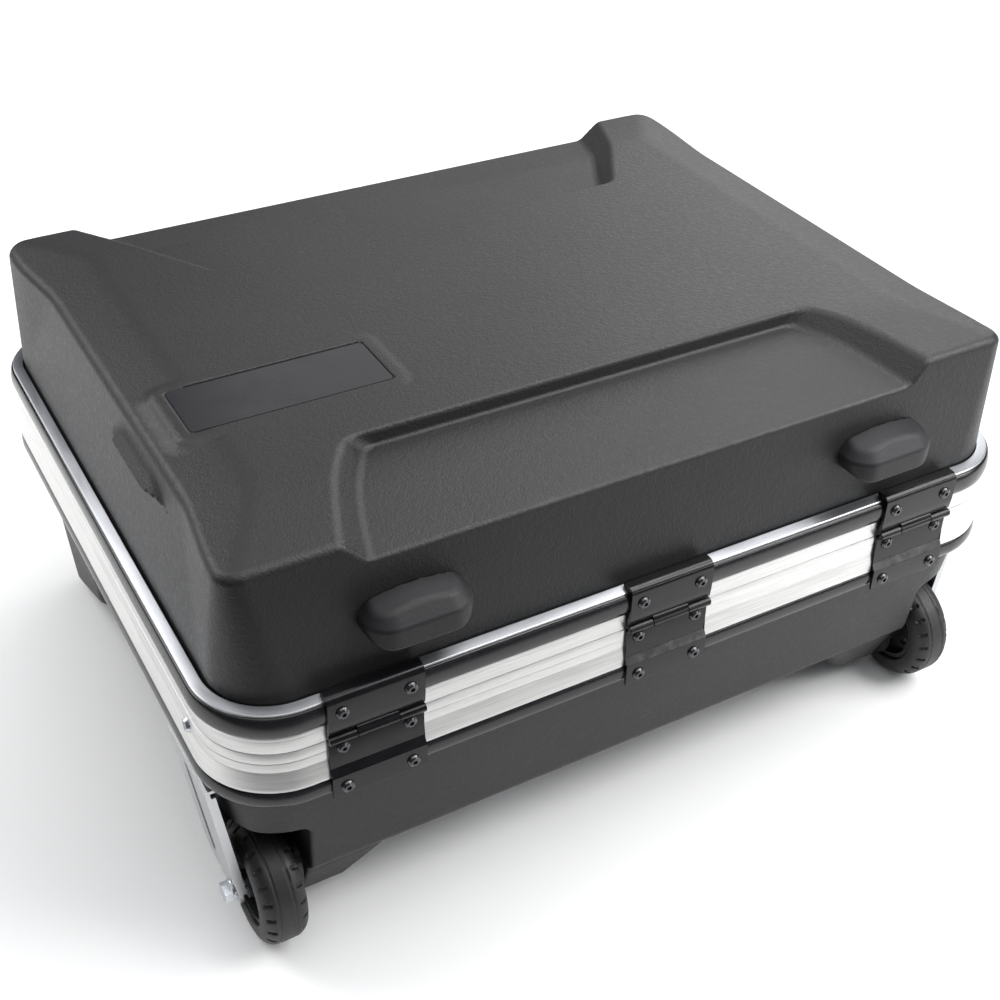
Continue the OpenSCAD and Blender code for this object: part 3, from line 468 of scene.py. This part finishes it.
BY_SLOT = {
    "painted_shell": M_SHELL, "frame_metal": M_ALU, "seam_rubber": M_BEAD, "foot_rubber": M_FOOT,
    "label_plastic": M_LABEL, "hinge_paint": M_HINGE, "screw_black": M_SCREW, "zinc": M_ZINC,
    "latch_chrome": M_CHROME, "plate_steel": M_PLATE, "hub_plastic": M_HUB, "tyre_rubber": M_TYRE,
    "grip_plastic": M_GRIP, "tube_aluminium": M_TUBE, "button_plastic": M_BUTTON}
for sub in frame["record"]["subparts"]:
    ob = NODES[sub["node"]]
    ob.data.materials.clear()
    ob.data.materials.append(BY_SLOT[sub["material_slot"]])


# ------------------------------------------------------------------ lid shell
LID_X, LID_Y = 252.6, 202.6             # half size of the shell at the lip
LID_TOP, SHOULDER = 85, 77              # heights of the flat top and of the shoulder
SHORT_DRAFT, LONG_DRAFT, HIP_DRAFT = 9.7, 7, 4.6
WALL = 3.0                              # of both shells
LABEL_X, LABEL_Y = 160, 58.5            # middle of the label plate
SHELF_LEAN = 8                          # of the step between flat top and shelf


def sind(a):
    return math.sin(math.radians(a))


def cosd(a):
    return math.cos(math.radians(a))


def plane2(u, v, u0, v0, u1, v1):
    """Distance from the line (u0, v0)-(u1, v1), positive above it."""
    du, dv = u1 - u0, v1 - v0
    length = math.hypot(du, dv)
    nx, ny = -dv / length, du / length
    if ny < 0 or (ny == 0 and nx < 0):
        nx, ny = -nx, -ny
    return (u - u0) * nx + (v - v0) * ny


def facet(x, y, z, a, b, out):
    """Plane through the line a-b whose level lines run out by out per mm towards the corner."""
    d = Vector(b) - Vector(a)
    n = Vector((out, 1 if a[1] > 0 else -1, 0)).cross(d)
    n = n.normalized() * (1 if n.x > 0 else -1)
    return (x - a[0]) * n.x + (y - a[1]) * n.y + (z - a[2]) * n.z


def shelf(x, y, z, ridge, ends, floor):
    """Space over a stepped shelf at the side where y grows. ends are the points (x, y) of its end
    walls on the top, floor the points (y, z) of its floor."""
    ax = np.abs(x)
    step = -((y - ridge) * cosd(SHELF_LEAN) + (z - 80) * sind(SHELF_LEAN))
    walls = []
    for (x0, y0), (x1, y1) in zip(ends, ends[1:]):
        s = (x1 - x0) / (y1 - y0)
        d = (ax - (x0 + s * (y - y0))) / math.hypot(1, s)
        walls.append((d - (z - 79)) * math.sqrt(0.5))
    (ya, za), (yb, zb), (yc, zc) = floor
    inner = za + (zb - za) / (yb - ya) * (y - ya)
    outer = zb + (zc - zb) / (yc - yb) * (y - yb)
    side = rmax(4.5, step, smax(walls[0], walls[1], 2))
    return rmax(1.8, side, (smin(inner, outer, 1.0) - z) * 0.99)


def lid_fn(x, y, z):
    ax, ay, zz = np.abs(x), np.abs(y), np.maximum(z, 0)
    # Drafted walls, with a facet at each corner
    short = (ax - LID_X) * cosd(SHORT_DRAFT) + zz * sind(SHORT_DRAFT)
    long = (ay - LID_Y) * cosd(LONG_DRAFT) + zz * sind(LONG_DRAFT)
    for y_top, y_low in ((122, 166), (-108, -166)):
        cut = facet(ax, y, z, (239.4, y_top, SHOULDER), (LID_X, y_low, 0), 0.128)
        short = smin(short, np.where(z > 0, cut, 50), 1.0)
    short = smax(short, (ax - LID_X) * cosd(HIP_DRAFT) + zz * sind(HIP_DRAFT), 2)
    walls = rmax(np.interp(z, (0, 74), (35, 13)), short, long)
    # Top that slopes down to the shoulder all round
    slope_x = plane2(ax, z, 206.5, LID_TOP, 241, 77.2)
    slope_y = plane2(ay, z, 137, LID_TOP, 193.5, 77.4)
    top = smax(smax(z - LID_TOP, slope_x, 1.5), slope_y, 1.5)
    f = rmax(np.interp(ax, (225, 240), (3.5, 4.5)), walls, top)
    rear = shelf(x, y, z, 121, ((143, 121), (168, 156), (188, 196)), ((121, 76), (145, 74), (194, 64.5)))
    front = shelf(x, -y, z, 82, ((139, 84), (172.6, 139), (205, 194)), ((82, 76), (146, 73), (194, 64)))
    f = rmax(2.0, f, -rear)
    f = rmax(1.3, f, -front)
    # Label pad and its pocket
    lx, ly = np.abs(x - LABEL_X), np.abs(y - LABEL_Y)
    flank = (rmax(8, lx - 65, ly - 28.5) + z - LID_TOP) * 0.707
    pad = np.maximum(smax(z - LID_TOP, flank, 2.5), 60 - z)
    f = rmin(2.5, f, pad)
    pocket = rmax(0.2, rmax(3, lx - 58.3, ly - 21.8), 84.15 - z)
    return rmax(0.4, f, -pocket)


STEP = 1.9
lid = shell_mesh("lid_shell_skin", lid_fn, WALL, (-256, -206, -20), (256, 206, 89), STEP, -15.7, True,
                 "lid", M_SHELL)
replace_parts(lid, "lid_shell")


# ------------------------------------------------------------------ base shell
BASE_X, BASE_Y, BASE_DRAFT = 253.8, 203.8, 6.5
RIM, FLOOR, LEG_TOP, LEG_FOOT = -65.7, -150, -119, -187
LEG_LEVELS = (LEG_TOP, -152, -178, LEG_FOOT)


def leg(z, *widths):
    """Widths given at the leg levels, carried to the heights z."""
    return [np.interp(-z, -np.array(LEG_LEVELS, float), np.array(w, float)) for w in widths]


def base_fn(x, y, z):
    ax, ay = np.abs(x), np.abs(y)
    depth = np.maximum(RIM - z, 0)
    short = (ax - BASE_X) * cosd(BASE_DRAFT) + depth * sind(BASE_DRAFT)
    long = (ay - BASE_Y) * cosd(BASE_DRAFT) + depth * sind(BASE_DRAFT)
    walls = rmax(34, short, long)
    chamfer_x = plane2(ax, -z, 245.4, 139, 227.4, -FLOOR)
    chamfer_y = plane2(ay, -z, 195.4, 139, 177.4, -FLOOR)
    body = rmax(3.5, walls, smax(-z + FLOOR, smax(chamfer_x, chamfer_y, 2), 3))
    # Rear legs, beside the wheels, and front legs, flush with the short walls
    xi, vi, vo = leg(z, (158, 162, 180, 190), (92, 92, 104, 106), (197.2, 185.5, 174, 164))
    rear = rmax(9, walls, (xi - ax) * 0.93, (vi - y) * 0.95, (y - vo) * 0.94)
    rear = rmax(4, rear, -z + LEG_FOOT)
    xi, vi, vo = leg(z, (178, 170, 182, 188), (90, 90, 148, 170), (198, 196, 193, 192))
    below = z < LEG_TOP
    steep = (ax - 247.8) * 0.998 + (LEG_TOP - z) * np.where(below, 0.055, 0)
    outside = rmax(24, np.where(below, steep, short), (-y - vo) * 0.99)
    front = rmax(9, outside, (xi - ax) * 0.93, (vi + y) * 0.8)
    front = rmax(4, front, -z + LEG_FOOT)
    f = rmin(4, rmin(4, body, rear), front)
    wheel_recess = rmax(7, 214.5 - ax, 128.5 - y, z + 98)
    return rmax(2.2, f, -wheel_recess)


base = shell_mesh("base_shell_skin", base_fn, WALL, (-257, -207, -190), (257, 207, -48), STEP, -53.0, False,
                  "base", M_BASE)
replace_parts(base, "base_shell")

# ------------------------------------------------------------------ frame rings
FLARE_Z, BEAD_Z, FOOT_Z = -51.1, -52.7, -64.1


def bead_profile(z, h, back, out, bulge=2.4, n=18):
    """Bead of height h under z, from back to out past the lip, with an elliptic face."""
    pts = [(-back, z), (-back, z - h)]
    for i in range(n + 1):
        a = -math.pi / 2 + math.pi * i / n
        pts.append((out - bulge + bulge * max(math.cos(a), 0), z - h / 2 + h / 2 * math.sin(a)))
    return pts


LID_FRAME = rounded_profile([
    (0, -1.0, 0.8), (-5.9, 0, 0.3), (-6.3, 0, 0.3), (-6.3, -16), (-11, -16), (-11, -6.2), (-12.6, -6.2),
    (-12.6, -17.6), (-4, -17.6), (-4, -26.8), (-2.4, -26.8), (-2.4, -17.6), (-1.0, -17.6),
    (-1.0, -26.8, 0.2), (0.6, -26.8, 0.35), (0.6, -18.7, 0.1), (0.5, -18.5, 0.1), (0.6, -18.3, 0.1),
    (0.6, -16), (-4.7, -16), (-4.7, -2.2), (0, -2.2, 0.2)], 0.1)
FLARE = [(0.6 + 2.2 * (1 - cosd(a)), FLARE_Z + 6 * (1 - sind(a))) for a in range(84, -1, -12)]
BASE_FRAME = rounded_profile([
    (0.6, -27.1, 0.35), (-1.0, -27.1, 0.2), (-1.0, -31.5), (-5.4, -31.5), (-5.4, -28.1), (-6.8, -28.1),
    (-6.8, -33.1), (-1.0, -33.1), (-1.0, FLARE_Z), (-11.1, FLARE_Z), (-11.1, -61.7), (-9.5, -61.7),
    (-9.5, BEAD_Z), (-5.1, BEAD_Z), (-5.1, RIM), (0.4, RIM, 0.3), (0.4, FOOT_Z, 0.2), (-3.5, FOOT_Z),
    (-3.5, BEAD_Z), (2.8, BEAD_Z, 0.3)] + [(u, z, 0) for u, z in FLARE[::-1]] + [
    (0.6, -40.5, 0.1), (0.48, -40.3, 0.1), (0.6, -40.1, 0.1),
    (0.6, -34.4, 0.1), (0.42, -34.15, 0.1), (0.6, -33.9, 0.1)], 0.1)
LID_BEAD = bead_profile(-2.2, 13.8, 4.7, 2.5)
BASE_BEAD = bead_profile(BEAD_Z, 11.4, 3.5, 3.6)
for name, profile, body, slot, mat, sharp in (
        ("lid_frame", LID_FRAME, "lid", "frame_metal", M_ALU, 32),
        ("base_frame", BASE_FRAME, "base", "frame_metal", M_ALU, 32),
        ("lid_bead", LID_BEAD, "lid", "seam_rubber", M_BEAD, 40),
        ("base_bead", BASE_BEAD, "base", "seam_rubber", M_BEAD, 40)):
    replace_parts(ring_sweep(name + "_skin", profile, body, mat, sharp), name)


# ------------------------------------------------------------------ hinge leaves
def prisms(name, parts, body, mat, bevel=0.3, sharp=24):
    """Sections (out from the lip, up) carried along X on the hinge side; parts are (section, x0, x1)."""
    bm = bmesh.new()
    for sec, x0, x1 in parts:
        a = [bm.verts.new((x0, CW / 2 + u, z + LIP)) for u, z in sec]
        b = [bm.verts.new((x1, CW / 2 + u, z + LIP)) for u, z in sec]
        n = len(sec)
        caps = [bm.faces.new(a), bm.faces.new(b[::-1])]
        for i in range(n):
            bm.faces.new((a[i], b[i], b[(i + 1) % n], a[(i + 1) % n]))
        edges = list({e for c in caps for e in c.edges})
        bmesh.ops.bevel(bm, geom=edges, offset=bevel, segments=2, affect="EDGES", clamp_overlap=True)
    bmesh.ops.recalc_face_normals(bm, faces=bm.faces)
    for v in bm.verts:
        v.co *= MM
    sharpen(bm, sharp)
    me = bpy.data.meshes.new(name)
    bm.to_mesh(me)
    bm.free()
    return place(name, me, body, mat)


def disc(u, z, rad, n=28):
    return [(u + rad * math.cos(2 * math.pi * i / n), z + rad * math.sin(2 * math.pi * i / n))
            for i in range(n)]


HINGE_PITCH, HINGE_W = 179.0, 54.0
KNUCKLE_W = HINGE_W * 0.43              # of the middle knuckle, on the lid leaf
KNUCKLE = disc(3.3, -25.51, 2.7)
LID_LEAF = rounded_profile([(-4.7, 0.2, 0.1), (0.9, 0.2, 1), (2.7, -1.8, 1), (2.7, -14, 0.6), (1.5, -22, 0.2),
                            (3.7, -22, 0.5), (4.3, -15, 3), (4.3, 3.1, 4.2), (-4.7, 2.9, 1.3)])
TAB = rounded_profile([(1.5, -21.2, 0.1), (0.95, -25.5, 1), (1.6, -27.3, 1.2), (3.3, -27.9, 1.6),
                       (5.0, -27.4, 1.6), (5.65, -25.3, 1.5), (4.3, -20.8, 3)])
BASE_LEAF = rounded_profile([(0.7, -28.6, 0.2), (0.7, -45.1, 2), (3.0, -51.3, 1), (3.75, -54.3, 0.5),
                             (3.75, RIM, 0.2), (5.35, RIM, 0.6), (5.35, -51.6, 0.6), (2.3, -46.9, 0.8),
                             (2.3, -28.6, 0.4)])
ARM = [(0.7, -29.4), (0.7, -26.1), (3.3, -23.6), (3.3, -26.5), (2.3, -29.4)]
for i, tag in ((-1, "left"), (0, "middle"), (1, "right")):
    x = i * HINGE_PITCH
    leaf = (x - HINGE_W / 2, x + HINGE_W / 2)
    middle = (x - KNUCKLE_W / 2, x + KNUCKLE_W / 2)
    lid_parts = [(LID_LEAF, *leaf), (TAB, *middle), (KNUCKLE, *middle)]
    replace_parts(prisms("hinge_lid_leaf_%s_skin" % tag, lid_parts, "lid", M_HINGE),
                "hinge_lid_leaf_%s" % tag)
    w = (HINGE_W - KNUCKLE_W) / 2 - 0.3
    base_parts = [(BASE_LEAF, *leaf)]
    for e in (-1, 1):
        span = sorted((x + e * (HINGE_W / 2), x + e * (HINGE_W / 2 - w)))
        base_parts += [(ARM, *span), (KNUCKLE, *span)]
    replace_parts(prisms("hinge_base_leaf_%s_skin" % tag, base_parts, "base", M_HINGE),
                "hinge_base_leaf_%s" % tag)


# ------------------------------------------------------------------ lid feet
FOOT_X, FOOT_HALF, FOOT_OUT = 151, 31, 8


def foot_fn(x, y, z):
    u = y - CW / 2
    ends = rmax(17, np.abs(x) - FOOT_HALF, u - FOOT_OUT)
    front = rmax(13, np.abs(x) - FOOT_HALF, 22.5 - z)
    dome = 4.5 * (x / FOOT_HALF) ** 2
    lower = (z - 35.2) * 0.653 + ends * 0.757
    upper = (z - 43.9 + dome) * 0.985 + (u - 0.5) * 0.174
    f = rmax(1.0, rmax(2.0, ends, front), smax(lower, upper, 1.6))
    f = rmax(0.7, f, u - FOOT_OUT)
    return np.maximum(f, -12.5 - u)


for tag, x0 in (("left", -FOOT_X), ("right", FOOT_X)):
    P, F, N = surface(foot_fn, (-33, 196, 17), (33, 220, 49), 0.9)
    P = P + np.array((x0, 0, LIP))
    ob = new_object("lid_foot_%s_skin" % tag, P * MM, F, "lid", M_FOOT, normals=N)
    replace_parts(ob, "lid_foot_%s" % tag)


# ------------------------------------------------------------------ tyres
WHEEL_X, WHEEL_Y, AXLE_Z = 234, 172, -156.5
TYRE_R, TYRE_HALF, BORE_R, LUGS = 37.5, 13.5, 24.05, 22


def tyre_fn(x, y, z):
    """Tyre round the X axis, with notches in both shoulders and a groove on each side of the tread."""
    rad = np.hypot(y, z)
    f = rmax(9, rad - TYRE_R, np.abs(x) - TYRE_HALF)
    f = rmax(1.5, f, BORE_R - rad)
    turn = np.arctan2(z, y) * LUGS / (2 * np.pi)
    for side, offset in ((1, 0.0), (-1, 0.5)):
        q = (turn + offset) % 1.0 - 0.5
        arc = np.abs(q) * 2 * np.pi * rad / LUGS
        notch = rmax(0.4, arc - 1.1, 7.5 - side * x, 33.2 - rad)
        f = rmax(0.4, f, -rmax(0.3, notch, -(f + 1.5)))
    for c in (-4.6, 4.6):
        f = rmax(0.3, f, 0.7 - np.hypot(x - c, rad - 37.6))
    return f


P, F, N = surface(tyre_fn, (-15, -39, -39), (15, 39, 39), 0.9)
for tag, x0 in (("left", -WHEEL_X), ("right", WHEEL_X)):
    ob = new_object("tyre_%s_skin" % tag, (P + np.array((x0, WHEEL_Y, LIP + AXLE_Z))) * MM, F,
                    "wheel_" + tag, M_TYRE, normals=N)
    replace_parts(ob, "tyre_%s" % tag)

# ------------------------------------------------------------------ floor and light
def camera_only(nt, base, seen):
    """A colour that only the camera sees as seen; all other rays see base, a colour or a socket."""
    mix = node(nt, "ShaderNodeMix", data_type="RGBA")
    if isinstance(base, tuple):
        mix.inputs["A"].default_value = (*base, 1)
    else:
        nt.links.new(base, mix.inputs["A"])
    mix.inputs["B"].default_value = (*seen, 1)
    nt.links.new(node(nt, "ShaderNodeLightPath").outputs["Is Camera Ray"], mix.inputs["Factor"])
    return mix.outputs["Result"]


def math_node(nt, operation, *values):
    """A math node whose inputs are numbers or sockets."""
    n = node(nt, "ShaderNodeMath", operation=operation)
    for slot, v in zip(n.inputs, values):
        if isinstance(v, (int, float)):
            slot.default_value = v
        else:
            nt.links.new(v, slot)
    return n.outputs[0]


half = 12
plane = bpy.data.meshes.new("floor")
plane.from_pydata([(-half, -half, 0), (half, -half, 0), (half, half, 0), (-half, half, 0)], [], [(0, 1, 2, 3)])
floor = bpy.data.objects.new("floor", plane)
scene.collection.objects.link(floor)
m, nt, b = material("floor_paper", (0.80, 0.80, 0.80), 0.9)
b.inputs["Specular IOR Level"].default_value = 0.0
place_on_floor = node(nt, "ShaderNodeNewGeometry").outputs["Position"]
xyz = node(nt, "ShaderNodeSeparateXYZ")
nt.links.new(place_on_floor, xyz.inputs[0])
# For all rays but the camera's the floor is a pale card before the hinge side and painted dark past it, a
# painted shade that the metal and the black walls mirror
side = math_node(nt, "MULTIPLY_ADD", xyz.outputs["X"], 0.35, xyz.outputs["Y"])
card_and_painted_shade = map_range(nt, side, (0.42, 0.62), (0.90, 0.12), "SMOOTHSTEP")
nt.links.new(camera_only(nt, card_and_painted_shade, (0.97, 0.97, 0.97)), b.inputs["Base Color"])
# Past the lit ground the camera sees the floor as white as the world
reach = node(nt, "ShaderNodeVectorMath", operation="LENGTH")
nt.links.new(place_on_floor, reach.inputs[0])
far = map_range(nt, reach.outputs["Value"], (0.9, 2.2), kind="SMOOTHSTEP")
camera_ray = node(nt, "ShaderNodeLightPath").outputs["Is Camera Ray"]
nt.links.new(math_node(nt, "MULTIPLY", far, camera_ray), b.inputs["Emission Strength"])
b.inputs["Emission Color"].default_value = (1, 1, 1, 1)
plane.materials.append(m)

world = bpy.data.worlds.new("world")
scene.world = world
world.use_nodes = True
wt = world.node_tree
sky = wt.nodes["Background"]
wt.links.new(camera_only(wt, (0.10, 0.105, 0.115), (1.0, 1.0, 1.0)), sky.inputs["Color"])
sky.inputs["Strength"].default_value = 1.0


def area(name, loc, target, size, power):
    """Soft lamp that faces target; metres and watts."""
    d = bpy.data.lights.new(name, "AREA")
    d.shape = "RECTANGLE"
    d.size, d.size_y = size
    d.energy = power
    o = bpy.data.objects.new(name, d)
    scene.collection.objects.link(o)
    o.location = loc
    o.rotation_euler = (Vector(target) - Vector(loc)).to_track_quat("-Z", "Y").to_euler()


area("back", (-0.94, -1.84, 1.26), (0, 0, 0.25), (1.15, 1.5), 5)
area("back_far", (-1.71, -1.16, 1.26), (0, 0, 0.25), (1.3, 1.5), 15.5)
area("top", (-0.1, 0.6, 2.4), (-0.1, 0.6, 0), (3.2, 3.2), 46)
area("strip", (-1.1, 0.35, 2.4), (-0.2, 0.1, 0.2), (2.6, 0.35), 24)
area("glint", (-1.95, 2.6, 0.8), (-0.1, 0.24, 0.14), (1.5, 0.35), 11)
area("pool_left", (0.9, -0.85, 0.95), (0.5, -0.65, 0), (0.9, 0.9), 12)
area("pool_right", (-0.95, 0.8, 0.95), (-0.75, 0.6, 0), (0.8, 0.8), 15)
